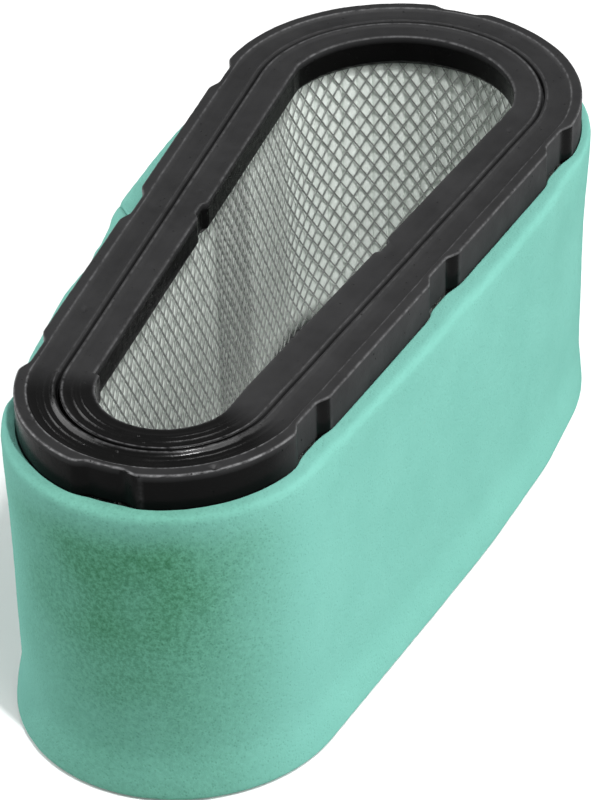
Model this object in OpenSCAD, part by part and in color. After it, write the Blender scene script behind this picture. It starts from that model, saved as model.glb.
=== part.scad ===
// Tapered oval air filter cartridge inside its foam pre-filter sleeve.
// Seen from above, every outline is two circles joined by their outer tangents. The wide
// end points along +X, the seal faces look along +Z and -Z, and the part rests on z = 0.
// A profile is drawn as [out, z]: out is the distance outside the seals' outline.

/* [Outline] */
// Length of the end seals over both round ends
seal_length = 176; // [160:0.5:190]
// Radius of the narrow end
narrow_r = 27.5; // [26:0.1:30]
// Radius of the wide end
wide_r = 37.4; // [34:0.1:40]
// Height over both seal faces
total_h = 70.5; // [60:0.5:85]

/* [End seals] */
// Width of a seal from its outer side to its inner wall
seal_w = 13.6; // [13.4:0.1:14.5]
// Thickness of a seal
seal_t = 7.8; // [7:0.1:9]
// Width of the raised rim that seals against the air cleaner's base and cover
rim_w = 2.1; // [1.5:0.1:2.5]
// Depth of the wide channel behind the rim
channel_depth = 0.95; // [0.8:0.05:1.4]
// Depth of the narrow groove beside the channel
groove_depth = 1.9; // [1.4:0.1:2]
// Depth of the locating notches in the outer side
notch_depth = 1.3; // [0.8:0.05:1.4]
// Length of a locating notch at its bottom
notch_l = 6.2; // [4:0.1:8]

/* [Filter medium] */
// Number of pleats round the cartridge
pleats = 96; // [72:1:104]
// Thickness of the pleated paper
paper_t = 0.55; // [0.4:0.05:0.6]
// Thickness of the folded metal strip that closes the pleated pack
clip_t = 0.35; // [0.25:0.05:0.4]

/* [Screens] */
// Thickness of both expanded-metal screens
screen_t = 0.45; // [0.3:0.05:0.5]
// Length of the lap where a screen's two ends overlap
lap_l = 14; // [6:0.5:16]
// Depth to which screens and paper are cast into the upper seal
embed = 3; // [2:0.5:4]

/* [Foam sleeve] */
// Thickness of the foam
foam_t = 4.2; // [4:0.1:6]
// Clearance between the foam and the seals' outer sides
foam_gap = 0.3; // [0.3:0.05:0.6]
// Height of the seal that stands above the foam
bare_h = 7.3; // [5:0.1:7.5]
// Height of the foam's lower edge above the resting plane
foam_lift = 0.3; // [0.2:0.05:1]
// Thickness of the bonded butt joint in the foam
bond_t = 0.5; // [0.3:0.1:0.8]

/* [Hidden] */
$fn = 96;
centre_gap = seal_length - narrow_r - wide_r;
narrow_x = narrow_r - seal_length / 2;
wide_x = seal_length / 2 - wide_r;
taper = asin((wide_r - narrow_r) / centre_gap);
side_l = centre_gap * cos(taper);
// The sides lie this far inside the arcs' tangents and run this far into the arcs, so the
// four stretches of a sweep join as one solid.
side_inset = 0.04;
side_overlap = 0.8;

// Section of a seal: chamfer of its edges, run of the slopes between its levels, and the
// bevel that it is cast with at the bottom of its inner wall
edge = 0.5;
step = 0.6;
foot_bevel = 1.2;
// Width of the channel behind the rim, and the height of its sides above its middle
channel_w = 4.7;
channel_sag = 0.25;
// Width and depth of the two ribs beside the groove, and the groove's width and side slope
rib_w = 0.6;
rib_depth = 0.35;
groove_w = 0.4;
groove_side = 0.2;
// Depths of the inner band and the bead at its edge, and the height of the upper seal's
// inner wall
band_depth = 0.8;
bead_depth = 0.55;
inner_wall_h = 5.3;
// The lower seal is a tray. Height of its floor, and the depth to which the screens and the
// paper are cast into that floor.
floor_h = 2.7;
floor_embed = 0.6;
// Run of a locating notch's sloped end
notch_slope = 3.5;
// Distance of the outer notches from the ends of the straight sides
notch_inset = 3;
// Small notches in the inner wall, opposite the outer ones
inner_notch_w = 3.4;
inner_notch_slope = 0.8;
inner_notch_depth = 0.9;
// Overshoot of every cutter past the surface that it cuts
past = 1;

// Lower and upper ends of the screens, paper and clip, which are cast into the seals
cast_low = floor_h - floor_embed;
cast_high = total_h - seal_t + embed;

// Places of the inner pieces, as distances inside the seals' outline
outer_screen_in = 1.6;
clip_gap = 0.15;
media_out = outer_screen_in + screen_t + clip_t + clip_gap;
inner_cover = 1.5;
inner_screen_in = seal_w - inner_cover;
paper_gap = 0.3;
media_in = inner_screen_in - paper_gap;
media_mid = (media_out + media_in) / 2;

// Lengths along the middle line of the pleated pack
wide_arc = (wide_r - media_mid) * (180 + 2 * taper) * PI / 180;
narrow_arc = (narrow_r - media_mid) * (180 - 2 * taper) * PI / 180;
loop_l = 2 * side_l + wide_arc + narrow_arc;
half_pitch = loop_l / (2 * pleats);
pleat_depth = media_in - media_out;
// Depth through a folded edge that gives the paper its thickness in the slanted legs
fold_depth = paper_t * sqrt(pow(half_pitch, 2) + pow(pleat_depth, 2)) / half_pitch;
// Half thickness of the two paper ends where they meet, and half the space between them
end_half = 0.6;
end_gap = 0.05;
// Share of the first fold on each side that the clip covers
clip_reach = 0.45;

// Distances of the screens' laps and the foam's joint along the straight +Y side
inner_lap_at = 0.705 * side_l;
outer_lap_at = 0.3 * side_l;
bond_at = 0.54 * side_l;

// Outer bevel and heights of the foam's lower and upper edges
foam_bevel = foam_t / 4;
foam_low = foam_lift;
foam_high = total_h - bare_h;
foam_out = foam_gap + foam_t;

// Sweeps a profile round the tapered oval: two arcs, and two sides that run a little way
// into them.
module sweep_oval(profile) {
    translate([wide_x, 0, 0])
        rotate(-90 - taper)
            rotate_extrude(angle = 180 + 2 * taper)
                translate([wide_r, 0])
                    polygon(profile);
    translate([narrow_x, 0, 0])
        rotate(90 + taper)
            rotate_extrude(angle = 180 - 2 * taper)
                translate([narrow_r, 0])
                    polygon(profile);
    for (side = [0, 1])
        mirror([0, side, 0])
            translate([narrow_x, 0, 0])
                rotate(90 + taper)
                    translate([narrow_r - side_inset, side_overlap, 0])
                        rotate([90, 0, 0])
                            linear_extrude(side_l + 2 * side_overlap)
                                polygon(profile);
}

// Puts children on the straight +Y side: +Y outwards, X along the side, origin on the outline.
module on_side(along) {
    translate([narrow_x, 0, 0])
        rotate(taper)
            translate([along, narrow_r, 0])
                children();
}

// Rectangular profile between two distances inside the outline and two heights.
function band(inside_1, inside_2, z_1, z_2) =
    [[-inside_1, z_1], [-inside_1, z_2], [-inside_2, z_2], [-inside_2, z_1]];

// Point at a distance along the pack's middle line, clockwise from the narrow end of the
// +Y side, and at a distance inside the seals' outline.
function spot(along, inside) =
    let (a = (along + loop_l) % loop_l)
    a < side_l ? side_spot(a, inside)
    : a < side_l + wide_arc
        ? arc_spot(wide_x, wide_r, 90 + taper, (a - side_l) / wide_arc * (180 + 2 * taper), inside)
    : a < 2 * side_l + wide_arc
        ? let (p = side_spot(2 * side_l + wide_arc - a, inside)) [p[0], -p[1]]
    : arc_spot(narrow_x, narrow_r, -90 - taper,
               (a - 2 * side_l - wide_arc) / narrow_arc * (180 - 2 * taper), inside);

function side_spot(a, inside) =
    [narrow_x + a * cos(taper) - (narrow_r - inside) * sin(taper),
     a * sin(taper) + (narrow_r - inside) * cos(taper)];

function arc_spot(x, r, start, turn, inside) =
    [x + (r - inside) * cos(start - turn), (r - inside) * sin(start - turn)];

// Section of a seal, with its face at z = 0 and its body above. Both seals have the same
// outer side, rim, channel, rib, groove, rib, inner band and bead.
rib_1 = rim_w + channel_w;
groove_at = rib_1 + rib_w;
rib_2 = groove_at + groove_w + 2 * groove_side;
band_at = rib_2 + rib_w;
face_profile = [
    [0, seal_t],
    [0, edge],
    [-edge, 0],
    [-rim_w, 0],
    [-rim_w - step, channel_depth - channel_sag],
    [-(rim_w + rib_1) / 2, channel_depth],
    [-rib_1 + step / 2, channel_depth - channel_sag],
    [-rib_1, rib_depth],
    [-groove_at, rib_depth],
    [-groove_at - groove_side, groove_depth],
    [-groove_at - groove_side - groove_w, groove_depth],
    [-rib_2, rib_depth],
    [-band_at, rib_depth],
    [-band_at - step, band_depth],
    [-seal_w + foot_bevel, band_depth],
    [-seal_w + edge, bead_depth],
    [-seal_w, bead_depth + edge]];
wall_profile = [
    [-seal_w, bead_depth + edge + inner_wall_h],
    [-seal_w + foot_bevel, seal_t]];
tray_profile = [
    [-seal_w, floor_h - edge],
    [-seal_w + edge, floor_h],
    [-outer_screen_in - screen_t / 2, floor_h],
    [-outer_screen_in - screen_t / 2, seal_t]];

// Trapezoid that cuts a notch from y = 0 down to its depth, with sloped ends.
module notch_cutter(bottom_l, slope, depth) {
    grow = past * slope / depth;
    translate([0, 0, -past])
        linear_extrude(seal_t + 2 * past)
            polygon([[-bottom_l / 2, -depth], [-bottom_l / 2 - slope - grow, past],
                     [bottom_l / 2 + slope + grow, past], [bottom_l / 2, -depth]]);
}

module outer_notch() {
    notch_cutter(notch_l, notch_slope, notch_depth);
}

module inner_notch() {
    translate([0, -seal_w, 0])
        rotate(180)
            notch_cutter(inner_notch_w, inner_notch_slope, inner_notch_depth);
}

// One end seal, with its face down on z = 0 and the given section of its inner wall.
module seal(inner_profile) {
    difference() {
        sweep_oval(concat(face_profile, inner_profile));
        for (side = [0, 1], along = [notch_inset, side_l / 2, side_l - notch_inset])
            mirror([0, side, 0])
                on_side(along) {
                    outer_notch();
                    inner_notch();
                }
        translate([wide_x + wide_r, 0, 0])
            rotate(-90)
                outer_notch();
        translate([narrow_x - narrow_r, 0, 0])
            rotate(90)
                outer_notch();
    }
}

module lower_seal() {
    color([0.15, 0.15, 0.16])
        seal(tray_profile);
}

module upper_seal() {
    color([0.15, 0.15, 0.16])
        translate([0, 0, total_h])
            mirror([0, 0, 1])
                seal(wall_profile);
}

// Height of the paper and its clip, whose ends are cast into the seals.
module cast_in() {
    translate([0, 0, cast_low])
        linear_extrude(cast_high - cast_low)
            children();
}

// One pleated strip of paper, folded in and out round the cartridge.
module pleated_media() {
    last = 2 * pleats;
    folds = [for (i = [1 : last - 1]) i];
    color([0.80, 0.83, 0.74])
        cast_in()
            polygon(concat(
                [spot(end_gap, media_out), spot(end_half, media_out)],
                [for (i = folds) spot(i * half_pitch, i % 2 == 0 ? media_out : media_in - fold_depth)],
                [spot(-end_half, media_out), spot(-end_gap, media_out),
                 spot(-end_gap, media_out + fold_depth)],
                [for (i = folds) let (j = last - i)
                    spot(j * half_pitch, j % 2 == 0 ? media_out + fold_depth : media_in)],
                [spot(end_gap, media_out + fold_depth)]));
}

// Folded metal strip over the two ends of the paper.
module media_clip() {
    leg_x = end_half + (half_pitch - end_half) * clip_reach;
    leg_in = media_out + (media_in - fold_depth - media_out) * clip_reach;
    half = [[end_half, media_out], [leg_x, leg_in], [leg_x + clip_t, leg_in],
            [end_half + clip_t, media_out - clip_t]];
    color([0.72, 0.73, 0.74])
        cast_in()
            polygon(concat(
                [for (p = half) spot(p[0], p[1])],
                [for (i = [3 : -1 : 0]) spot(-half[i][0], half[i][1])]));
}

// Expanded-metal sheet rolled into an oval tube, with its ends lapped on the +Y side. The
// lap stands one sheet proud, towards the bore (+1) or outwards (-1).
module screen(inside, lap_at, lap_side) {
    middle = inside + screen_t / 2;
    proud = middle + lap_side * 1.5 * screen_t;
    sweep_oval(band(inside, inside + screen_t, cast_low, cast_high));
    on_side(lap_at)
        translate([-lap_l / 2, -max(middle, proud), cast_low])
            cube([lap_l, abs(proud - middle), cast_high - cast_low]);
}

module inner_screen() {
    color([0.60, 0.62, 0.60])
        screen(inner_screen_in, inner_lap_at, 1);
}

module outer_screen() {
    color([0.60, 0.62, 0.60])
        screen(outer_screen_in, outer_lap_at, -1);
}

// Section of the foam, with bevelled outer edges.
foam_profile = [
    [foam_gap, foam_low],
    [foam_gap, foam_high],
    [foam_out - foam_bevel, foam_high],
    [foam_out, foam_high - foam_bevel],
    [foam_out, foam_low + foam_bevel],
    [foam_out - foam_bevel, foam_low]];

// Soft sleeve, cut through where its ends are bonded.
module foam_sleeve() {
    color([0.50, 0.82, 0.70])
        difference() {
            sweep_oval(foam_profile);
            on_side(bond_at)
                translate([-bond_t / 2, foam_gap - past, foam_low - past])
                    cube([bond_t, foam_t + 2 * past, foam_high - foam_low + 2 * past]);
        }
}

// Adhesive film in the foam's butt joint.
module foam_bond() {
    color([0.40, 0.70, 0.58])
        on_side(bond_at)
            translate([-bond_t / 2, 0, 0])
                rotate([90, 0, 90])
                    linear_extrude(bond_t)
                        polygon(foam_profile);
}

lower_seal();
upper_seal();
pleated_media();
media_clip();
inner_screen();
outer_screen();
foam_sleeve();
foam_bond();
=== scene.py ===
import math

import bpy
import numpy as np
from mathutils import Matrix, Vector, noise


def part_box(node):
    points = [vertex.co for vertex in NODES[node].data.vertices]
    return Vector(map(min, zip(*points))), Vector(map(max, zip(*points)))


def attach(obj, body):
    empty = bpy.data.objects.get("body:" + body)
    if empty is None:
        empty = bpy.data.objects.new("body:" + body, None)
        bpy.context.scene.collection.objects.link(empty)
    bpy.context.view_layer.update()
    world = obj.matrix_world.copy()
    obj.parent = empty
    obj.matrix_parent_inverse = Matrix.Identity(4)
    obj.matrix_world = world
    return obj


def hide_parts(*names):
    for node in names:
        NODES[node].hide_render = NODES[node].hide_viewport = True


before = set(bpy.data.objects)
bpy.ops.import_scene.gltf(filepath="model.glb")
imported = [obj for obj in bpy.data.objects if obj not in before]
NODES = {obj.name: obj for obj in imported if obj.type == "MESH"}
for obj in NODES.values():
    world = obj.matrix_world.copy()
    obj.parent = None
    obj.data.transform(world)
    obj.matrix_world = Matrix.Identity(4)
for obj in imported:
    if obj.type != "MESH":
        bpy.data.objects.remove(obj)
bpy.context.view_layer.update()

MM = 0.001
SEED = 7

# ---------------------------------------------------------------- sizes
# Seals
NARROW_R = 27.5 * MM           # radius of the seals' outline round the narrow end
NOTCH_DEPTH = 1.3 * MM         # locating notches in the outer side
NOTCH_HALF = 3.1 * MM
NOTCH_SLOPE = 3.5 * MM
NOTCH_INSET = 3.0 * MM         # from the ends of the straight sides
DENT_AT = 57.5 * MM            # notches in the inner wall, from the narrow end of each side
DENT_DEPTH = 0.9 * MM
DENT_HALF = 1.7 * MM
DENT_SLOPE = 1.1 * MM
FLOOR_H = 2.7 * MM             # height of the lower seal's floor inside its outer wall
# Screens and paper. The first four are distances inside the seals' outline.
INNER_SCREEN_IN = 12.1 * MM
OUTER_SCREEN_IN = 1.75 * MM
MEDIA_OUT = 2.55 * MM
MEDIA_IN = 11.8 * MM
SCREEN_T = 0.2 * MM
DIAMOND_W = 3.1 * MM           # pitch of the mesh along the loop and up, and its strands
DIAMOND_H = 4.75 * MM
STRAND_W = 0.30 * MM
LAP_HALF = 7 * MM              # half length of the lap where a screen's ends overlap
PLEATS = 96
PAPER_T = 0.5 * MM
SCREEN_EMBED = 1.2 * MM        # how far the screens and the paper reach into the upper seal
PAPER_EMBED = 2.5 * MM
PAPER_FOOT = 0.3 * MM          # how far the paper reaches into the lower seal's floor
# Places on the straight +Y side, as shares of its length
INNER_LAP = 0.705
OUTER_LAP = 0.3
FOAM_JOINT = 0.54
# Foam
FOAM_REACH = 4.5 * MM          # the solid foam's outside, measured from the seals' outline
FOAM_GAP = 0.3 * MM            # clearance that the CAD leaves inside the foam
BOND_T = 0.5 * MM
FILM_T = 1.1 * BOND_T          # the film laps a little into both ends of the foam
FILM_SHARE = (0.94, 0.993)     # its share of the foam's thickness and height

foam_low, foam_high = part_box("foam_sleeve")
top_low, top_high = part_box("upper_seal")
base_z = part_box("lower_seal")[0].z
foam_h = foam_high.z - foam_low.z
wide_r = foam_high.y - FOAM_REACH
wide_x = foam_high.x - foam_high.y
narrow_x = foam_low.x + NARROW_R + FOAM_REACH


# ---------------------------------------------------------------- the tapered oval
class Oval:
    """Two circles joined by their outer tangents."""

    def __init__(self, narrow_r, wide_r):
        gap = wide_x - narrow_x
        self.narrow_r = narrow_r
        self.wide_r = wide_r
        self.taper = math.asin((wide_r - narrow_r) / gap)
        self.side = gap * math.cos(self.taper)
        self.wide_arc = wide_r * (math.pi + 2 * self.taper)
        self.narrow_arc = narrow_r * (math.pi - 2 * self.taper)
        self.length = 2 * self.side + self.wide_arc + self.narrow_arc

    def inset(self, depth):
        return Oval(self.narrow_r - depth, self.wide_r - depth)

    def across(self):
        """Middle of the -Y side."""
        return self.side + self.wide_arc + self.side / 2

    def narrow_end(self):
        return 2 * self.side + self.wide_arc + self.narrow_arc / 2

    def wide_end(self):
        return self.side + self.wide_arc / 2

    def place(self, s, out, z):
        """Points at distances s along the oval and out outside it."""
        s = np.mod(s, self.length)
        first = self.side
        second = first + self.wide_arc
        third = second + self.side
        lean = math.pi / 2 + self.taper
        angle = np.select(
            [s < first, s < second, s < third],
            [lean, lean - (s - first) / self.wide_r, -lean],
            -lean - (s - third) / self.narrow_r,
        )
        along = np.select([s < first, s < third], [s, third - s], 0)
        straight = (s < first) | ((s >= second) & (s < third))
        around_wide = (s >= first) & (s < second)
        radius = np.where(around_wide, self.wide_r, self.narrow_r)
        middle = np.where(around_wide, wide_x, narrow_x)
        shift_x = np.where(straight, along * math.cos(self.taper), 0)
        shift_y = np.where(straight, along * math.sin(self.taper) * np.sign(angle), 0)
        x = middle + shift_x + (radius + out) * np.cos(angle)
        y = shift_y + (radius + out) * np.sin(angle)
        return np.stack(np.broadcast_arrays(x, y, z), axis=-1)


seal_oval = Oval(NARROW_R, wide_r)


def smooth(t):
    """0 up to t = 0, 1 from t = 1, and an S-curve between."""
    t = np.clip(t, 0, 1)
    return t * t * (3 - 2 * t)


def away_from(s, middle, length):
    """Signed distance from middle to s on a loop of that length."""
    return np.mod(s - middle + length / 2, length) - length / 2


def window(s, middle, half, slope, length):
    """1 within half of middle, falling to 0 over slope, on a loop of that length."""
    return 1 - smooth((np.abs(away_from(s, middle, length)) - half) / slope)


def hill(x, middle, half):
    """1 at middle, falling away as a bell of that half width."""
    return np.exp(-(((x - middle) / half) ** 2))


def clouds(points, size, seed):
    """Smooth noise from -1 to 1 at points, with patches of that size."""
    shift = Vector((seed * 3.7, seed * 1.9, seed * 5.3))
    flat = (points / size).reshape(-1, 3)
    values = [noise.noise(Vector(p) + shift) for p in flat]
    return np.array(values).reshape(points.shape[:-1])


# ---------------------------------------------------------------- mesh helpers
def make_piece(name, points, faces, body, replaced, materials, sharp=False):
    """A mesh piece that rides on a body and stands for CAD nodes."""
    mesh = bpy.data.meshes.new(name)
    if isinstance(faces, np.ndarray):
        faces = faces.tolist()
    mesh.from_pydata(np.asarray(points).reshape(-1, 3).tolist(), [], faces)
    mesh.validate()
    if sharp:
        mesh.shade_flat()
    else:
        mesh.shade_smooth()
    for finish in materials:
        mesh.materials.append(finish)
    piece = bpy.data.objects.new(name, mesh)
    bpy.context.scene.collection.objects.link(piece)
    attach(piece, body)
    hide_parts(*replaced)
    return piece


def ring_faces(rows, columns, closed_rows=True):
    """Quads over a grid whose columns close on themselves."""
    row = np.arange(rows if closed_rows else rows - 1)
    column = np.arange(columns)
    r, c = np.meshgrid(row, column, indexing="ij")
    r2 = (r + 1) % rows
    c2 = (c + 1) % columns
    quads = np.stack([r * columns + c, r2 * columns + c, r2 * columns + c2, r * columns + c2],
                     axis=-1)
    return quads.reshape(-1, 4)


def strip_faces(rows, columns):
    """Quads over a grid whose columns close on themselves, with both ends capped."""
    faces = ring_faces(rows, columns, closed_rows=False)[:, ::-1].tolist()
    faces.append(list(reversed(range(columns))))
    faces.append([(rows - 1) * columns + k for k in range(columns)])
    return faces


def point_values(piece, name, values):
    """Stores one value for each point, for the materials to read."""
    layer = piece.data.attributes.new(name, "FLOAT", "POINT")
    layer.data.foreach_set("value", np.asarray(values, np.float32).ravel())


def rounded(corners, steps=4):
    """Closed outline through corners of (x, y, radius), each rounded by a curve."""
    outline = []
    count = len(corners)
    for i, (x, y, radius) in enumerate(corners):
        here = np.array([x, y])
        before = np.array(corners[i - 1][:2]) - here
        after = np.array(corners[(i + 1) % count][:2]) - here
        reach = min(radius, 0.45 * np.linalg.norm(before), 0.45 * np.linalg.norm(after))
        start = here + before / np.linalg.norm(before) * reach
        end = here + after / np.linalg.norm(after) * reach
        for t in np.linspace(0, 1, steps + 1):
            outline.append((1 - t) ** 2 * start + 2 * t * (1 - t) * here + t * t * end)
    return np.array(outline)


def spaced(outline, step_at):
    """The same closed outline with its long stretches cut to the step for their middle."""
    result = []
    for i, start in enumerate(outline):
        end = outline[(i + 1) % len(outline)]
        length = np.linalg.norm(end - start)
        parts = max(1, math.ceil(length / step_at((start + end) / 2)))
        result.extend(start + (end - start) * k / parts for k in range(parts))
    return np.array(result)


# ---------------------------------------------------------------- materials
class Finish:
    """A Principled material with short calls for its nodes."""

    def __init__(self, name, **sockets):
        self.material = bpy.data.materials.new(name)
        self.material.use_nodes = True
        self.tree = self.material.node_tree
        self.shader = self.tree.nodes["Principled BSDF"]
        for socket, value in sockets.items():
            self.shader.inputs[socket.replace("_", " ")].default_value = value
        place = self.tree.nodes.new("ShaderNodeTexCoord")
        self.where = place.outputs["Object"]

    def node(self, kind, inputs=(), **settings):
        made = self.tree.nodes.new(kind)
        for key, value in settings.items():
            setattr(made, key, value)
        for socket, value in dict(inputs).items():
            if isinstance(value, bpy.types.NodeSocket):
                self.tree.links.new(value, made.inputs[socket])
            else:
                made.inputs[socket].default_value = value
        return made

    def noise(self, size, detail=4.0, roughness=0.55, where=None):
        made = self.node("ShaderNodeTexNoise", {"Vector": where or self.where, "Scale": 1 / size,
                                                "Detail": detail, "Roughness": roughness})
        return made.outputs["Fac"]

    def cells(self, size):
        """Distance from the middle of the nearest of a crowd of cells of that size."""
        made = self.node("ShaderNodeTexVoronoi", {"Vector": self.where, "Scale": 1 / size})
        return made.outputs["Distance"]

    def stretched(self, scale):
        made = self.node("ShaderNodeMapping", {"Vector": self.where, "Scale": scale})
        return made.outputs["Vector"]

    def value(self, name):
        """One of the values that point_values stores on a piece."""
        made = self.node("ShaderNodeAttribute", attribute_name=name)
        return made.outputs["Fac"]

    def ramp(self, factor, low, high, start=0.0, end=1.0):
        """Runs from start to end as factor runs from low to high."""
        made = self.node("ShaderNodeMapRange", {"Value": factor, "From Min": low,
                                                "From Max": high, "To Min": start,
                                                "To Max": end})
        return made.outputs["Result"]

    def times(self, a, b):
        return self.math("MULTIPLY", a, b)

    def math(self, operation, a, b=0.0):
        made = self.node("ShaderNodeMath", operation=operation)
        for socket, value in zip(made.inputs, (a, b)):
            if isinstance(value, bpy.types.NodeSocket):
                self.tree.links.new(value, socket)
            else:
                socket.default_value = value
        return made.outputs[0]

    def mix(self, factor, a, b):
        made = self.node("ShaderNodeMix", data_type="RGBA")
        for socket, value in zip((made.inputs[0], made.inputs[6], made.inputs[7]),
                                 (factor, a, b)):
            if isinstance(value, bpy.types.NodeSocket):
                self.tree.links.new(value, socket)
            elif isinstance(value, tuple):
                socket.default_value = (*value, 1.0)
            else:
                socket.default_value = value
        return made.outputs[2]

    def set(self, socket, value):
        self.tree.links.new(value, self.shader.inputs[socket])

    def bump(self, height, distance, strength=1.0, over=None):
        inputs = {"Height": height, "Distance": distance, "Strength": strength}
        if over:
            inputs["Normal"] = over
        return self.node("ShaderNodeBump", inputs).outputs["Normal"]


def rubber_finish(name, specular, matte, glossy):
    """Cast black foam rubber: glossier at the narrow end, with painted shade (a blacker base)
    there, in the bore and at the notch ends, and light edges that are partly wear and partly
    painted highlight.
    """
    look = Finish(name, Roughness=0.5, Specular_IOR_Level=specular)
    gloss_and_shade = look.value("gloss_and_shade")
    wear_and_highlight = look.value("wear_and_highlight")
    patches = look.ramp(look.noise(9 * MM, 5), 0.3, 0.7)
    grain = look.noise(0.5 * MM, 3)
    dull = look.mix(patches, (matte, matte, 1.03 * matte),
                    (1.5 * matte, 1.5 * matte, 1.54 * matte))
    # Painted shade: the gloss value also blackens the base colour at the narrow end, in the bore
    # and at the notch ends
    colour = look.mix(gloss_and_shade, dull, (glossy, glossy, glossy))
    # Light edges: partly wear, partly painted highlight on the rims and ridges
    scuffs_and_highlight = look.times(wear_and_highlight, look.ramp(look.noise(1.6 * MM, 6, 0.7), 0.35, 0.62))
    colour = look.mix(scuffs_and_highlight, colour, (0.15, 0.15, 0.153))
    # Painted shade: the small pits are painted near black
    pits = look.ramp(look.cells(2.3 * MM), 0.05, 0.11)
    colour = look.mix(pits, (0.004, 0.004, 0.004), colour)
    look.set("Base Color", colour)
    satin = look.ramp(look.noise(3 * MM, 5, 0.65), 0.3, 0.7, 0.55, 0.72)
    look.set("Roughness", look.math("SUBTRACT", satin, look.times(gloss_and_shade, 0.42)))
    normal = look.bump(grain, 0.03 * MM, 0.8)
    normal = look.bump(look.noise(2.5 * MM, 5), 0.10 * MM, 0.5, normal)
    look.set("Normal", look.bump(pits, 0.12 * MM, 0.8, normal))
    return look.material


def foam_finish():
    """Open-cell mint foam: pores with painted shade, mottling, and a dull green patch round the
    narrow end that is partly soiling and partly painted shade.
    """
    look = Finish("mint_foam", Roughness=1.0, Specular_IOR_Level=0.03)
    soil_and_shade = look.value("soil_and_shade")
    patches = look.noise(14 * MM, 4)
    blotches = look.noise(0.9 * MM, 6, 0.75)
    pores = look.ramp(look.cells(0.75 * MM), 0.10, 0.38)
    base = look.mix(look.ramp(patches, 0.3, 0.7), (0.131, 0.332, 0.281), (0.142, 0.351, 0.299))
    dull = look.mix(look.ramp(blotches, 0.40, 0.60), (0.036, 0.135, 0.073),
                    (0.076, 0.232, 0.148))
    # Patch round the narrow end: partly soiling, partly painted shade
    colour = look.mix(soil_and_shade, base, dull)
    # Painted shade: the pores are painted darker, most in the patch round the narrow end
    pore_shade = look.times(look.math("SUBTRACT", 1.0, pores), look.ramp(soil_and_shade, 0.0, 1.0, 0.03, 0.45))
    colour = look.mix(pore_shade, colour, (0.03, 0.12, 0.07))
    look.set("Base Color", colour)
    normal = look.bump(pores, 0.10 * MM, 0.45)
    look.set("Normal", look.bump(look.noise(1.1 * MM, 5, 0.7), 0.25 * MM, 0.5, normal))
    return look.material


def bond_finish():
    """Adhesive film in the foam's butt joint, darker and harder than the foam."""
    look = Finish("foam_adhesive", Roughness=0.6, Specular_IOR_Level=0.3)
    mottle = look.ramp(look.noise(1.2 * MM, 5), 0.3, 0.7)
    look.set("Base Color", look.mix(mottle, (0.035, 0.14, 0.10), (0.07, 0.24, 0.18)))
    look.set("Normal", look.bump(look.noise(0.7 * MM, 4), 0.2 * MM, 0.6))
    return look.material


def paper_finish():
    """Pale filter paper: fibres, a faint green tint, and dust towards the folds."""
    look = Finish("filter_paper", Roughness=0.9, Specular_IOR_Level=0.15, Sheen_Weight=0.1)
    fibres = look.noise(0.35 * MM, 6, 0.7, look.stretched((1, 1, 0.35)))
    patches = look.noise(8 * MM, 4)
    tone = look.mix(look.ramp(patches, 0.3, 0.7), (0.74, 0.79, 0.75), (0.82, 0.87, 0.83))
    look.set("Base Color", look.mix(look.ramp(fibres, 0.35, 0.7), (0.65, 0.70, 0.655), tone))
    look.set("Normal", look.bump(fibres, 0.05 * MM, 0.7))
    return look.material


def screen_finish():
    """Dull expanded sheet: darker in its hollows, with bright cut edges."""
    look = Finish("expanded_metal", Metallic=0.75, Roughness=0.5, Specular_IOR_Level=0.4)
    grime = look.noise(2.2 * MM, 6, 0.7)
    cut = look.value("cut")
    tone = look.mix(look.ramp(grime, 0.35, 0.7), (0.13, 0.14, 0.135), (0.24, 0.25, 0.245))
    look.set("Base Color", look.mix(cut, tone, (0.50, 0.52, 0.50)))
    look.set("Roughness", look.ramp(grime, 0.3, 0.7, 0.40, 0.66))
    look.set("Normal", look.bump(look.noise(0.25 * MM, 3), 0.02 * MM, 0.6))
    return look.material


def clip_finish():
    """Folded tinplate strip with a fine rolled grain."""
    look = Finish("tinplate", Metallic=1.0, Roughness=0.35)
    grain = look.noise(0.4 * MM, 5, 0.6, look.stretched((1, 1, 0.08)))
    look.set("Base Color", look.mix(look.ramp(grain, 0.3, 0.7), (0.40, 0.41, 0.42),
                                    (0.62, 0.63, 0.64)))
    look.set("Roughness", look.ramp(grain, 0.3, 0.7, 0.28, 0.5))
    look.set("Normal", look.bump(grain, 0.02 * MM, 0.5))
    return look.material


def floor_finish():
    """Plain pale studio floor."""
    look = Finish("studio_floor", Roughness=0.9, Specular_IOR_Level=0.1)
    tone = look.ramp(look.noise(60 * MM, 3), 0.3, 0.7)
    look.set("Base Color", look.mix(tone, (0.71, 0.71, 0.71), (0.73, 0.73, 0.73)))
    look.shader.inputs["Emission Color"].default_value = (1, 1, 1, 1)
    look.shader.inputs["Emission Strength"].default_value = 0.10
    return look.material


# ---------------------------------------------------------------- end seals
# Section of a seal as (out, depth below the face, rounding), in millimetres
FACE_SECTION = [
    (0, 7.8, 0.4), (0, 0, 0.45), (-2.2, 0, 0.3), (-2.75, 0.62, 0.5), (-4.6, 1.02, 1.6),
    (-6.3, 0.72, 0.7), (-6.85, 0.32, 0.3), (-7.5, 0.32, 0.15), (-7.68, 1.8, 0.12),
    (-8.0, 1.8, 0.12), (-8.2, 0.34, 0.15), (-8.85, 0.36, 0.3), (-9.5, 0.75, 0.5),
    (-12.2, 0.78, 0.8), (-12.9, 0.52, 0.4), (-13.6, 0.62, 0.35),
]
UPPER_WALL = [(-13.6, 6.35, 0.3), (-12.4, 7.8, 0.4)]
LOWER_WALL = [(-13.6, 2.7, 0.3), (-1.7, 2.7, 0.3), (-1.7, 7.8, 0.1)]
FACE_DEPTH = 1.2 * MM          # the section counts as the face down to this depth
FACE_STEP = 0.25 * MM          # spacing of the section's points on the face and on the walls
WALL_STEP = 1.3 * MM
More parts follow.
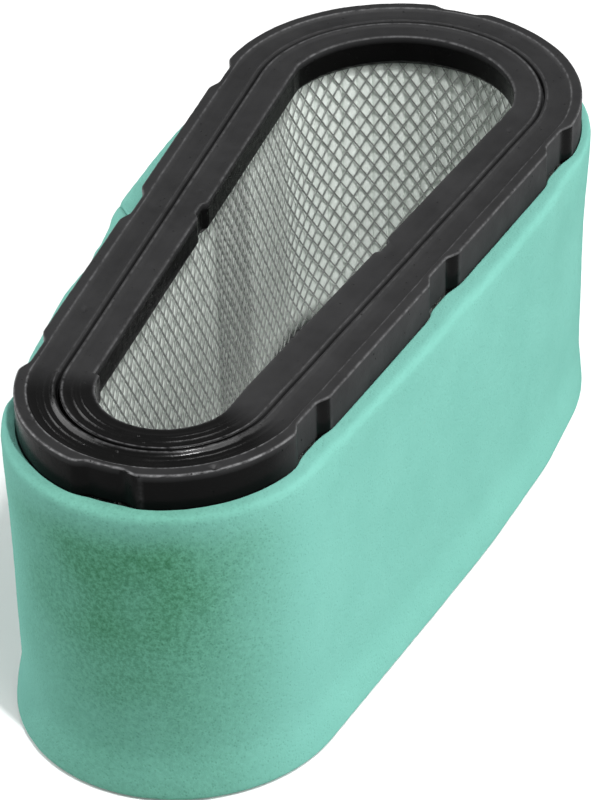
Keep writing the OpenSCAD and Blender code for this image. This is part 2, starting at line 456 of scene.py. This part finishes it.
STATION_STEP = 0.62 * MM       # spacing of the sections along the loop
# Ridges that only the narrow end has, as (out, half width, height) in millimetres
END_RIDGES = [(-2.1, 0.35, 0.22), (-4.4, 0.4, 0.34), (-5.6, 0.35, 0.26), (-7.1, 0.4, 0.30),
              (-10.8, 0.4, 0.38), (-12.1, 0.35, 0.30)]
# Lip along the middle of the -Y side, in the same form
SIDE_LIP = (-13.3, 0.35, 0.30)
# Casting pits in both faces as (s, out, radius, depth) in millimetres
PITS = [(425, -7.0, 0.55, 0.6), (19, -4.25, 0.5, 0.5), (331, -8.6, 0.45, 0.4),
        (407, -1.6, 0.5, 0.35), (366, -0.9, 0.7, 0.7), (64, -11.2, 0.4, 0.35),
        (238, -11.0, 0.6, 0.5), (152, -1.6, 0.5, 0.4), (160, -1.1, 0.45, 0.4),
        (169, -1.5, 0.55, 0.45), (176, -1.2, 0.4, 0.4), (297, -3.4, 0.4, 0.3)]
# Edges painted light, partly wear and partly painted highlight, as (out, half width in millimetres,
# share of the full lightening)
WORN_AND_HIGHLIGHT_EDGES = [(-0.1, 0.16, 1.0), (-2.2, 0.16, 0.8), (-7.0, 0.14, 0.4), (-8.6, 0.16, 0.7),
              (-13.5, 0.25, 0.6)]


def notch_places(oval):
    """Middles of the outer notches: three on each side and one at each end."""
    ends = [NOTCH_INSET, oval.side / 2, oval.side - NOTCH_INSET]
    back = oval.side + oval.wide_arc
    return ends + [back + oval.side - a for a in ends] + [oval.wide_end(), oval.narrow_end()]


def notches(s, oval):
    """1 at the bottom of each outer notch and 0 between them."""
    return sum(window(s, middle, NOTCH_HALF, NOTCH_SLOPE, oval.length)
               for middle in notch_places(oval))


def notch_ends(s, oval):
    """Painted shade on the end of each notch that faces the narrow end, and a painted highlight on
    the corner above it.
    """
    shaded, corner = 0, 0
    for middle in notch_places(oval):
        towards = 1 if middle < oval.wide_end() else -1
        end = middle + towards * (NOTCH_HALF + NOTCH_SLOPE / 2)
        # Painted shade on the notch's end face
        shaded = shaded + window(s, end, 0.42 * NOTCH_SLOPE, 0.5 * MM, oval.length)
        # Painted highlight on the corner at the notch's mouth
        mouth = end + towards * 0.55 * NOTCH_SLOPE
        corner = corner + window(s, mouth, 0.15 * MM, 0.35 * MM, oval.length)
    return shaded, corner


def inner_drift(s, oval):
    """How far the inner wall stands inboard of its CAD place, along the loop."""
    side, wide = oval.side, oval.side + oval.wide_arc
    places = [0, side, side + 4 * MM, side + 9 * MM, wide - 9 * MM, wide - 4 * MM, wide,
              wide + 0.95 * side, wide + side + 8 * MM, oval.length]
    drifts = [-0.1, 0.7, 0.7, 0.2, 0.2, 0.7, 0.7, 1.35, 0.9, 0.9]
    return np.interp(s, places, np.array(drifts) * MM)


def near_end(s, oval):
    """1 round the narrow end, where the casting is ridged and glossy, and 0 elsewhere."""
    return window(s, oval.narrow_end(), 0.36 * oval.narrow_arc, 14 * MM, oval.length)


def face_share(depth):
    """1 on the face, falling to 0 down the walls."""
    return 1 - smooth((depth - FACE_DEPTH) / (1.0 * MM))


def shape_sides(s, flat_out, oval):
    """The section's out along the loop: outer notches, drifting inner wall and its dents."""
    out = flat_out - NOTCH_DEPTH * notches(s, oval) * smooth((flat_out + 2.6 * MM) / (2.2 * MM))
    inner = smooth((-flat_out - 12.0 * MM) / (1.2 * MM))
    out -= inner_drift(s, oval) * inner
    for middle in (DENT_AT, 2 * oval.side + oval.wide_arc - DENT_AT):
        dent = window(s, middle, DENT_HALF, DENT_SLOPE, oval.length)
        out += DENT_DEPTH * dent * inner
    return out


def shape_face(s, flat_out, flat_depth, oval):
    """The section's depth along the loop: ridged end, lip and casting pits."""
    on_face = face_share(flat_depth)
    depth = flat_depth.copy()
    for ridge_out, half, height in END_RIDGES:
        shape = hill(flat_out, ridge_out * MM, half * MM)
        depth -= height * MM * shape * near_end(s, oval) * on_face
    lip_out, half, height = SIDE_LIP
    lip = window(s, oval.across(), 0.42 * oval.side, 9 * MM, oval.length)
    depth -= height * MM * lip * hill(flat_out, lip_out * MM, half * MM) * on_face
    for pit_s, pit_out, radius, pit_depth in PITS:
        away = away_from(s, pit_s * MM, oval.length)
        reach = np.hypot(away, flat_out - pit_out * MM) / (radius * MM)
        depth += pit_depth * MM * np.exp(-reach ** 4) * on_face
    return depth


def roughen_seal(s, out, depth, flat_out, flat_depth, points, oval, seed):
    """Waviness and grain of a casting that stays inside its mould's outline and face."""
    wave = clouds(points, 11 * MM, seed)
    rough = clouds(points, 1.7 * MM, seed + 1)
    on_face = face_share(flat_depth)
    uneven = (0.05 * wave + 0.03 * rough) * MM
    torn = 0.12 * MM * np.maximum(rough, 0) * hill(flat_out, 0, 0.7 * MM) * on_face
    depth = np.maximum(depth + uneven * on_face, 0)
    depth = np.maximum(depth + torn * near_end(s, oval), 0)
    out = out + uneven * np.where(flat_out > -0.6 * MM, -1, 1)
    return np.minimum(out, 0), depth


def seal_wear_and_highlight(s, flat_out, depth, side, wall, oval):
    """How light each point is painted, partly wear and partly painted highlight: the edges all
    round, more round both ends, and the corners of the notches.
    """
    wear_and_highlight = sum(level * hill(flat_out, at * MM, half * MM) for at, half, level in WORN_AND_HIGHLIGHT_EDGES)
    # Painted highlight: the light edges are stronger round the narrow end and the wide end
    far = window(s, oval.wide_end(), 0.4 * oval.wide_arc, 14 * MM, oval.length)
    wear_and_highlight = wear_and_highlight * (0.5 + 0.5 * near_end(s, oval) + 0.3 * far)
    wear_and_highlight = wear_and_highlight * (depth < np.where(flat_out > -1 * MM, 0.3, 0.9) * MM)
    if wall is LOWER_WALL:
        ledge = (flat_out < -11.5 * MM) & (depth > 1.5 * MM) & (depth < 3.5 * MM)
        wear_and_highlight = np.maximum(wear_and_highlight, 0.5 * ledge)
    # Painted highlight on the corners at the notches' mouths
    corner = notch_ends(s, oval)[1]
    return np.where(side, np.maximum(wear_and_highlight, 0.15 * corner), wear_and_highlight)


def seal_gloss_and_shade(s, flat_out, depth, side, wall, oval):
    """How glossy each point is and how far painted shade blackens it: the narrow end, the bore, and
    the notch ends.
    """
    rim = smooth((flat_out + 2.6 * MM) / (0.8 * MM)) * (depth < 1.0 * MM)
    # Painted shade: the upper seal's bore wall is painted black
    bore = (flat_out < -12.3 * MM) & (depth > 1.2 * MM) & (wall is UPPER_WALL)
    # The narrow end is glossier, and painted blacker as shade, except on the outer rim
    gloss_and_shade = np.maximum(near_end(s, oval) * (1 - 0.8 * rim), bore)
    # Painted shade on the notches' end faces
    shaded = notch_ends(s, oval)[0]
    return np.where(side, np.maximum(gloss_and_shade, shaded), gloss_and_shade)


def seal_piece(name, face, inward, wall, replaced, seed):
    """One end seal: its face at height face, and its body towards inward (+1 up, -1 down)."""
    oval = seal_oval
    section = rounded([(o * MM, d * MM, r * MM) for o, d, r in FACE_SECTION + wall])
    section = spaced(section, lambda p: FACE_STEP if p[1] < FACE_DEPTH else WALL_STEP)
    stations = round(oval.length / STATION_STEP)
    s = np.linspace(0, oval.length, stations, endpoint=False)[:, None]
    flat_out = np.broadcast_to(section[:, 0], (stations, len(section)))
    flat_depth = np.broadcast_to(section[:, 1], flat_out.shape)
    out = shape_sides(s, flat_out, oval)
    depth = shape_face(s, flat_out, flat_depth, oval)
    points = oval.place(s, out, face + inward * depth)
    out, depth = roughen_seal(s, out, depth, flat_out, flat_depth, points, oval, seed)
    points = oval.place(s, out, face + inward * depth)
    piece = make_piece(name, points, ring_faces(*out.shape)[:, ::int(inward)], "cartridge",
                       [replaced], [RUBBER, RUBBER_WALL])

    side = (flat_out > -0.5 * MM) & (depth > 0.3 * MM)
    point_values(piece, "wear_and_highlight", seal_wear_and_highlight(s, flat_out, depth, side, wall, oval))
    point_values(piece, "gloss_and_shade", seal_gloss_and_shade(s, flat_out, depth, side, wall, oval))
    # The second material covers the outer side, the groove's bottom and the inner wall
    wall_from = np.where(side, 0.45, 1.4) * MM
    mean_depth = (depth + np.roll(depth, -1, axis=1)) / 2
    wall_faces = (mean_depth > wall_from).ravel()
    piece.data.polygons.foreach_set("material_index", wall_faces.astype(np.int32))


# ---------------------------------------------------------------- expanded-metal screens
def diamonds(oval, columns, rows, low, high, first=0.0, last=None, proud=None, tilt=0.0):
    """Lattice of strands over a stretch of the oval: (points, faces, cut-edge values)."""
    width = oval.length / columns
    height = (high - low) / rows
    last = oval.length if last is None else last
    whole = last - first >= oval.length - width / 4
    start = math.floor(first / width)
    stop = start + columns if whole else math.ceil(last / width)
    corners = {}
    places = []
    cells = []

    def corner(i, j):
        key = (i % (2 * columns) if whole else i, j)
        if key not in corners:
            corners[key] = len(places)
            places.append((i * width / 2, low + j * height / 2, 0.0))
        return corners[key]

    half_strand = STRAND_W / 2
    slant = math.atan2(height, width)
    margin_s = half_strand / math.sin(slant)
    margin_z = half_strand / math.cos(slant)
    for j in range(2 * rows - 1):
        offset = j % 2
        for column in range(start, stop):
            i = 2 * column + offset
            ring = [corner(i - 1, j + 1), corner(i, j), corner(i + 1, j + 1), corner(i, j + 2)]
            middle_s, middle_z = i * width / 2, low + (j + 1) * height / 2
            hole = len(places)
            reach_s, reach_z = width / 2 - margin_s, height / 2 - margin_z
            places.extend([(middle_s - reach_s, middle_z, -tilt), (middle_s, middle_z - reach_z, 0),
                           (middle_s + reach_s, middle_z, tilt), (middle_s, middle_z + reach_z, 0)])
            for k in range(4):
                cells.append((ring[k], ring[(k + 1) % 4], hole + (k + 1) % 4, hole + k))
    places = np.array(places)
    cells = np.array(cells)
    count = len(places)
    s, z, lift = places.T
    rise = lift if proud is None else lift + proud(s)
    front = oval.place(s, rise - SCREEN_T / 2, z)
    back = oval.place(s, rise + SCREEN_T / 2, z)
    starts = cells.ravel()
    ends = np.roll(cells, -1, axis=1).ravel()
    lone = ~np.isin(starts * count + ends, ends * count + starts)
    a, b = starts[lone], ends[lone]
    walls = np.stack([b, a, a + count, b + count], axis=-1)
    faces = np.concatenate([cells, cells[:, ::-1] + count, walls])
    cut = np.concatenate([np.where(lift != 0, 1.0, 0.35)] * 2)
    return np.concatenate([front, back]), faces, cut


def screen_piece(name, depth, lap_share, lap_side, replaced, seed):
    """A rolled screen whose lapped seam stands towards the bore (+1) or outwards (-1)."""
    oval = seal_oval.inset(depth)
    low = base_z + FLOOR_H - SCREEN_T
    high = top_low.z + SCREEN_EMBED
    columns = round(oval.length / DIAMOND_W)
    rows = round((high - low) / DIAMOND_H)
    twist = 0.07 * MM
    wobble = 0.06 * MM

    def uneven(s):
        """How far the rolled sheet wanders from a true oval."""
        return wobble * np.sin(s / (9.7 * MM) + seed) * np.sin(s / (23 * MM) + 2 * seed)

    middle = lap_share * oval.side
    first, last = middle - LAP_HALF, middle + LAP_HALF

    def lap_rise(s):
        """The lap stands 0.3 mm off the sheet at its start and 0.6 mm after 6 mm."""
        share = smooth((s - first) / (6 * MM))
        return uneven(s) - lap_side * (0.30 + 0.30 * share) * MM

    tube, tube_faces, tube_cut = diamonds(oval, columns, rows, low, high, proud=uneven,
                                          tilt=twist)
    shift = 0.42 * oval.length / columns
    lap, lap_faces, lap_cut = diamonds(oval, columns, rows, low, high, first, last, lap_rise,
                                       twist)
    lap[:, 0] += shift * math.cos(oval.taper)
    lap[:, 1] += shift * math.sin(oval.taper)
    points = np.concatenate([tube, lap])
    faces = np.concatenate([tube_faces, lap_faces + len(tube)])
    piece = make_piece(name, points, faces, "cartridge", [replaced], [SCREEN],
                       sharp=True)
    point_values(piece, "cut", np.concatenate([tube_cut, lap_cut]))


# ---------------------------------------------------------------- pleated paper
OUTER_FOLD = (0.3 * MM, 0.35 * MM)     # half width and rounding of the folds' ends
INNER_FOLD = (1.84 * MM, 0.4 * MM)
FOLD_STEPS = 7
PAPER_ROWS = 12


def paper_line(pitch, half_depth):
    """Middle line of the folded strip as distances along and out."""
    turn = np.radians(np.linspace(-90, 90, FOLD_STEPS))
    rng = np.random.default_rng(SEED)
    spots = []
    for i in range(PLEATS):
        uneven = rng.normal(0, 0.05 * MM)
        for at, (half, rounding), side in ((i, OUTER_FOLD, 1), (i + 0.5, INNER_FOLD, -1)):
            for t in turn:
                along = at * pitch + half * math.sin(t) + (uneven if side < 0 else 0)
                spots.append((along, side * (half_depth - rounding * (1 - math.cos(t)))))
    return np.array(spots).T


def paper_piece():
    """One strip folded round the cartridge, with wide inner folds and tight outer ones."""
    oval = seal_oval.inset((MEDIA_OUT + MEDIA_IN) / 2)
    along, out = paper_line(oval.length / PLEATS, (MEDIA_IN - MEDIA_OUT - PAPER_T) / 2)
    low, high = base_z + FLOOR_H - PAPER_FOOT, top_low.z + PAPER_EMBED
    heights = np.linspace(low, high, PAPER_ROWS)[:, None]
    sway = 0.10 * MM * np.sin(heights / (7 * MM) + along / (19 * MM))
    flat = oval.place(along, out, 0)[:, :2]
    tangent = np.roll(flat, -1, axis=0) - np.roll(flat, 1, axis=0)
    tangent /= np.linalg.norm(tangent, axis=1)[:, None]
    normal = np.stack([tangent[:, 1], -tangent[:, 0]], axis=1)

    def layer(row, offset):
        spot = oval.place(along + sway[row], out, 0)[:, :2] + normal * offset
        return np.column_stack([spot, np.full(len(spot), heights[row, 0])])

    layers = [layer(row, PAPER_T / 2) for row in range(PAPER_ROWS)]
    layers += [layer(row, -PAPER_T / 2) for row in reversed(range(PAPER_ROWS))]
    faces = ring_faces(2 * PAPER_ROWS, len(along))[:, ::-1]
    make_piece("pleated_paper", np.concatenate(layers), faces, "cartridge",
               ["pleated_media"], [PAPER])


# ---------------------------------------------------------------- foam sleeve
# Section of the foam as shares of its thickness and height, with roundings in millimetres
FOAM_SECTION = [(0, 0, 0.7), (1, 0, 1.0), (1, 1, 2.6), (0, 1, 0.4)]
FOAM_STEP = 1.7 * MM           # spacing of the sections along the loop
# The foam's outside as (s, out at half height, at the bottom, at the top), in millimetres. It
# is pulled thin round the ends, wider apart along the sides, and pinched beside its joint.
FOAM_OUTSIDE = [
    (0, 2.8, 4.2, 3.0), (14, 4.1, 4.8, 4.4), (33, 5.3, 5.4, 5.9), (45, 4.2, 4.8, 4.7),
    (54, 5.5, 5.6, 6.5), (67, 6.0, 5.8, 7.2), (80, 5.6, 5.4, 6.6), (92, 4.8, 4.8, 5.9),
    (101, 3.6, 4.2, 4.7), (112, 2.6, 3.4, 3.4), (140, 1.2, 2.0, 2.0), (210, 1.0, 1.7, 1.9),
    (232, 1.4, 2.6, 2.2), (250, 3.6, 5.2, 3.9), (280, 4.8, 6.4, 4.6), (305, 4.5, 6.0, 4.3),
    (345, 3.6, 5.0, 3.3), (390, 3.0, 4.8, 3.2), (415, 2.3, 4.0, 2.8),
]
BLEND_L = 4 * MM               # length over which one row passes into the next
FLARE_H = 11 * MM              # height over which the bottom flares
TAPER_H = 24 * MM              # depth below the top edge where its own width ends
JOINT_SKEW = 2.2               # lean of the joint across the foam's thickness
CREEP = 1.1 * MM               # how far the top edge creeps into the seal's notches
SOIL_AND_SHADE_SIDE = 0.2                # how far the patch of soiling and painted shade sits towards -Y, as a slope
CLOTH_STEPS = 20
CLOTH_CAP = 0.6 * MM           # furthest that the cloth run may move the skin


def foam_outline():
    """Closed section of the solid foam as points of (out, z)."""
    corners = [(FOAM_GAP + share * (FOAM_REACH - FOAM_GAP), foam_low.z + tall * foam_h, r * MM)
               for share, tall, r in FOAM_SECTION]
    return spaced(rounded(corners, 5), lambda p: 2.0 * MM)


def joint_line(out, z):
    """The foam's joint leans a little as it rises and as it goes outwards."""
    middle = (foam_low.z + foam_high.z) / 2
    return 0.05 * (z - middle) + JOINT_SKEW * (out - (FOAM_GAP + FOAM_REACH) / 2)


def foam_outside(s, upward):
    """Distance of the foam's outside from the seals' outline."""
    length = seal_oval.length
    at = np.arange(0, length, MM)
    spread = hill(np.minimum(at, length - at), 0, BLEND_L)
    places, *levels = np.array(FOAM_OUTSIDE).T * MM
    reaches = []
    for level in levels:
        plain = np.interp(at, places, level, period=length)
        soft = np.fft.irfft(np.fft.rfft(plain) * np.fft.rfft(spread / spread.sum()), len(at))
        reaches.append(np.interp(s, at, soft, period=length))
    middle, low, high = reaches
    flare = 1 - smooth(upward * foam_h / FLARE_H)
    taper = 1 - smooth((1 - upward) * foam_h / TAPER_H)
    return middle + (low - middle) * flare + (high - middle) * taper


def foam_piece():
    """The sleeve: a strip of foam bent round the cartridge, its ends bonded on the +Y side."""
    oval = seal_oval
    outline = foam_outline()
    joint = FOAM_JOINT * oval.side
    stations = round(oval.length / FOAM_STEP)
    span = oval.length - BOND_T
    share = np.linspace(0, 1, stations)[:, None]
    out = np.broadcast_to(outline[:, 0], (stations, len(outline))).copy()
    z = np.broadcast_to(outline[:, 1], out.shape).copy()
    s = joint + BOND_T / 2 + span * share
    s = s + joint_line(out, z) * np.abs(1 - 2 * share) ** 8
    points = oval.place(s, out, z)
    faces = strip_faces(stations, len(outline))
    piece = make_piece("foam_pre_filter", points, faces, "pre_filter", ["foam_sleeve"],
                       [FOAM])
    outward = (out - FOAM_GAP) / (FOAM_REACH - FOAM_GAP)
    upward = (z - foam_low.z) / foam_h
    relax_foam(piece, outward, upward, share)
    shape_foam(piece, s, outward, upward, share)
    crease_caps(piece, len(outline), stations)
    smoother = piece.modifiers.new("smoother", "SUBSURF")
    smoother.levels = smoother.render_levels = 1
    apply_modifiers(piece)
    roughen_foam(piece)


def crease_caps(piece, columns, rows):
    """Keeps the edges of the strip's two cut ends sharp when the piece is subdivided."""
    pairs = np.zeros(2 * len(piece.data.edges), np.int32)
    piece.data.edges.foreach_get("vertices", pairs)
    ring = pairs.reshape(-1, 2) // columns
    at_cap = (ring[:, 0] == ring[:, 1]) & ((ring[:, 0] == 0) | (ring[:, 0] == rows - 1))
    crease = piece.data.attributes.new("crease_edge", "FLOAT", "EDGE")
    crease.data.foreach_set("value", at_cap.astype(np.float32))


def apply_modifiers(piece):
    """Puts the mesh that the modifiers make in the place of the piece's own."""
    graph = bpy.context.evaluated_depsgraph_get()
    done = bpy.data.meshes.new_from_object(piece.evaluated_get(graph))
    name = piece.data.name
    piece.modifiers.clear()
    piece.data = done
    done.name = name


def relax_foam(piece, outward, upward, share):
    """The outer skin settles inwards between its stiff edges, as cloth under light suction."""
    hold = np.clip(1 - outward * smooth(upward * 8) * smooth((1 - upward) * 8)
                   * smooth(share * 60) * smooth((1 - share) * 60), 0, 1)
    group = piece.vertex_groups.new(name="held")
    for index, weight in enumerate(hold.ravel()):
        group.add([index], float(weight), "REPLACE")
    before = mesh_points(piece)
    cloth = piece.modifiers.new("relax", "CLOTH")
    cloth.settings.vertex_group_mass = "held"
    cloth.settings.quality = 6
    cloth.settings.mass = 0.15
    cloth.settings.tension_stiffness = 12
    cloth.settings.compression_stiffness = 12
    cloth.settings.bending_stiffness = 6
    cloth.settings.use_pressure = True
    cloth.settings.uniform_pressure_force = -3.0
    cloth.settings.effector_weights.gravity = 0
    scene = bpy.context.scene
    for step in range(1, CLOTH_STEPS + 1):
        scene.frame_set(step)
    apply_modifiers(piece)
    scene.frame_set(1)
    moved = mesh_points(piece) - before
    length = np.linalg.norm(moved, axis=1, keepdims=True)
    moved *= CLOTH_CAP * np.tanh(length / CLOTH_CAP) / np.maximum(length, 1e-9)
    set_points(piece, before + moved)


def mesh_points(piece):
    flat = np.zeros(len(piece.data.vertices) * 3)
    piece.data.vertices.foreach_get("co", flat)
    return flat.reshape(-1, 3)


def set_points(piece, points):
    piece.data.vertices.foreach_set("co", np.asarray(points, float).ravel())
    piece.data.update()


def outward_of(points):
    """Unit vectors that point away from the middle line between the two circles."""
    nearest = np.clip(points[:, 0], narrow_x, wide_x)
    away = np.column_stack([points[:, 0] - nearest, points[:, 1], np.zeros(len(points))])
    return away / np.linalg.norm(away, axis=1)[:, None]


def shape_foam(piece, s, outward, upward, share):
    """Its own width all round, pinched joint, and a top edge that dips at the notches."""
    oval = seal_oval
    points = mesh_points(piece)
    away = outward_of(points)
    shape = outward.shape
    wide = (foam_outside(s, upward) - FOAM_REACH) * outward
    from_joint = np.minimum(share, 1 - share) * oval.length
    pinch = -0.3 * MM * np.exp(-from_joint / (0.9 * MM)) * outward
    notch = notches(s, oval)
    near_top = smooth((upward - 0.86) / 0.14)
    creep = -CREEP * notch * near_top * (1 - 0.5 * outward)
    hug = -0.22 * MM * near_top * (1 - outward)
    drop = -0.35 * MM * notch * near_top
    wander = clouds(points, 26 * MM, 11).reshape(shape)
    drop = drop + 0.25 * MM * wander * near_top
    moves = away * (wide + pinch + creep + hug).reshape(-1, 1)
    moves[:, 2] += drop.ravel()
    set_points(piece, points + moves)


def roughen_foam(piece):
    """Small unevenness of the cut foam, and the value that its material reads for a patch of
    soiling and painted shade round the narrow end.
    """
    points = mesh_points(piece)
    away = outward_of(points)
    broad = clouds(points, 9 * MM, 21)
    fine = clouds(points, 2.2 * MM, 22)
    top = smooth((points[:, 2] - (foam_high.z - 3 * MM)) / (3 * MM))
    points = points + away * ((0.06 * broad + 0.05 * fine) * MM)[:, None]
    points[:, 2] += (0.10 * fine + 0.05 * broad) * MM * top
    points[:, 2] = np.clip(points[:, 2], foam_low.z, None)
    set_points(piece, points)
    # Soiling plus painted shade on the foam facing the narrow end, weaker towards the top and the
    # bottom
    turn = np.abs(np.degrees(np.arctan2(away[:, 1] + SOIL_AND_SHADE_SIDE, -away[:, 0])))
    height = (points[:, 2] - foam_low.z) / foam_h
    soil_and_shade = (1 - smooth((turn - 4) / 72)) * (1 - 0.6 * smooth((height - 0.86) / 0.12))
    soil_and_shade = soil_and_shade * (0.5 + 0.5 * smooth(height / 0.8))
    point_values(piece, "soil_and_shade", soil_and_shade * (0.95 + 0.18 * broad))


def bond_piece():
    """The film of adhesive that closes the foam's joint."""
    outline = foam_outline()
    joint = FOAM_JOINT * seal_oval.side
    across = (outline[:, 0] - FOAM_GAP) / (FOAM_REACH - FOAM_GAP)
    upward = (outline[:, 1] - foam_low.z) / foam_h
    outline[:, 0] += (foam_outside(joint, upward) - FOAM_REACH) * across
    middle = outline.mean(axis=0)
    inner = middle + (outline - middle) * np.array(FILM_SHARE)
    layers = []
    for shift in (-0.5, -0.2, 0.2, 0.5):
        s = joint + shift * FILM_T + joint_line(inner[:, 0], inner[:, 1])
        layers.append(seal_oval.place(s, inner[:, 0], inner[:, 1]))
    points = np.concatenate(layers)
    faces = strip_faces(len(layers), len(outline))
    make_piece("foam_joint_film", points, faces, "pre_filter",
               ["foam_bond"], [BOND])


# ---------------------------------------------------------------- stage, lights and camera
def make_floor():
    """A flat floor 4 m wide."""
    size, parts = 4.0, 8
    line = np.linspace(-size / 2, size / 2, parts + 1)
    x, y = np.meshgrid(line, line, indexing="ij")
    mesh = bpy.data.meshes.new("floor")
    grid = np.arange((parts + 1) ** 2).reshape(parts + 1, parts + 1)
    quads = np.stack([grid[:-1, :-1], grid[1:, :-1], grid[1:, 1:], grid[:-1, 1:]], axis=-1)
    points = np.stack([x, y, np.zeros_like(x)], axis=-1).reshape(-1, 3)
    mesh.from_pydata(points.tolist(), [], quads.reshape(-1, 4).tolist())
    mesh.materials.append(floor_finish())
    floor = bpy.data.objects.new("floor", mesh)
    bpy.context.scene.collection.objects.link(floor)


def make_light(name, turn, rise, away, size, power):
    """Soft box aimed at LOOK_AT from so many degrees round from +X and above the floor."""
    lamp = bpy.data.lights.new(name, "AREA")
    lamp.shape = "RECTANGLE"
    lamp.size, lamp.size_y = size
    lamp.energy = power
    holder = bpy.data.objects.new(name, lamp)
    turn, rise = math.radians(turn), math.radians(rise)
    back = Vector((math.cos(turn) * math.cos(rise), math.sin(turn) * math.cos(rise),
                   math.sin(rise)))
    holder.location = LOOK_AT + back * away
    holder.rotation_mode = "QUATERNION"
    holder.rotation_quaternion = back.to_track_quat("Z", "Y")
    bpy.context.scene.collection.objects.link(holder)


def make_world():
    """Even grey light from all round."""
    world = bpy.data.worlds.new("studio")
    world.use_nodes = True
    background = world.node_tree.nodes["Background"]
    background.inputs["Color"].default_value = (1, 1, 1, 1)
    background.inputs["Strength"].default_value = 0.12
    bpy.context.scene.world = world


CAMERA_TURN, CAMERA_RISE, CAMERA_ROLL = -66.356, 35.302, -1.276     # degrees
CAMERA_AWAY = 615.7 * MM
LENS = 145.6                   # focal length in millimetres
LOOK_AT = Vector((-21.6, -7.8, 43.2)) * MM


def make_camera():
    """Camera at CAMERA_TURN from -Y and CAMERA_RISE above the floor, aimed at LOOK_AT."""
    turn, rise = math.radians(CAMERA_TURN), math.radians(CAMERA_RISE)
    back = Vector((math.sin(turn) * math.cos(rise), -math.cos(turn) * math.cos(rise),
                   math.sin(rise)))
    right = Vector((math.cos(turn), math.sin(turn), 0))
    up = back.cross(right)
    axes = Matrix((right, up, back)).transposed()
    data = bpy.data.cameras.new("camera")
    data.lens = LENS
    data.clip_start, data.clip_end = 0.05, 20
    camera = bpy.data.objects.new("camera", data)
    roll = Matrix.Rotation(math.radians(CAMERA_ROLL), 3, "Z")
    camera.rotation_mode = "QUATERNION"
    camera.rotation_quaternion = (axes @ roll).to_quaternion()
    camera.location = LOOK_AT + back * CAMERA_AWAY
    bpy.context.scene.collection.objects.link(camera)
    bpy.context.scene.camera = camera


make_camera()
make_world()
make_floor()
make_light("key", 290, 22, 1.0, (1.0, 0.8), 7.5)
make_light("high", 248, 57, 1.0, (0.7, 0.7), 7.8)
make_light("fill", 100, 25, 1.0, (0.9, 0.8), 10.0)
make_light("spark", 229, 66, 0.8, (0.02, 0.08), 4.8)
bpy.context.scene.view_settings.view_transform = "Standard"

RUBBER = rubber_finish("cast_rubber", 0.22, 0.013, 0.004)
RUBBER_WALL = rubber_finish("cast_rubber_wall", 0.03, 0.022, 0.003)
FOAM = foam_finish()
BOND = bond_finish()
PAPER = paper_finish()
SCREEN = screen_finish()

seal_piece("upper_seal_casting", top_high.z, -1, UPPER_WALL, "upper_seal", 1)
seal_piece("lower_seal_casting", base_z, 1, LOWER_WALL, "lower_seal", 2)
screen_piece("inner_screen_mesh", INNER_SCREEN_IN + SCREEN_T / 2, INNER_LAP, 1,
             "inner_screen", 3)
screen_piece("outer_screen_mesh", OUTER_SCREEN_IN + SCREEN_T / 2, OUTER_LAP, -1,
             "outer_screen", 5)
paper_piece()
foam_piece()
bond_piece()
clip = NODES["media_clip"]
clip.data.materials.clear()
clip.data.materials.append(clip_finish())
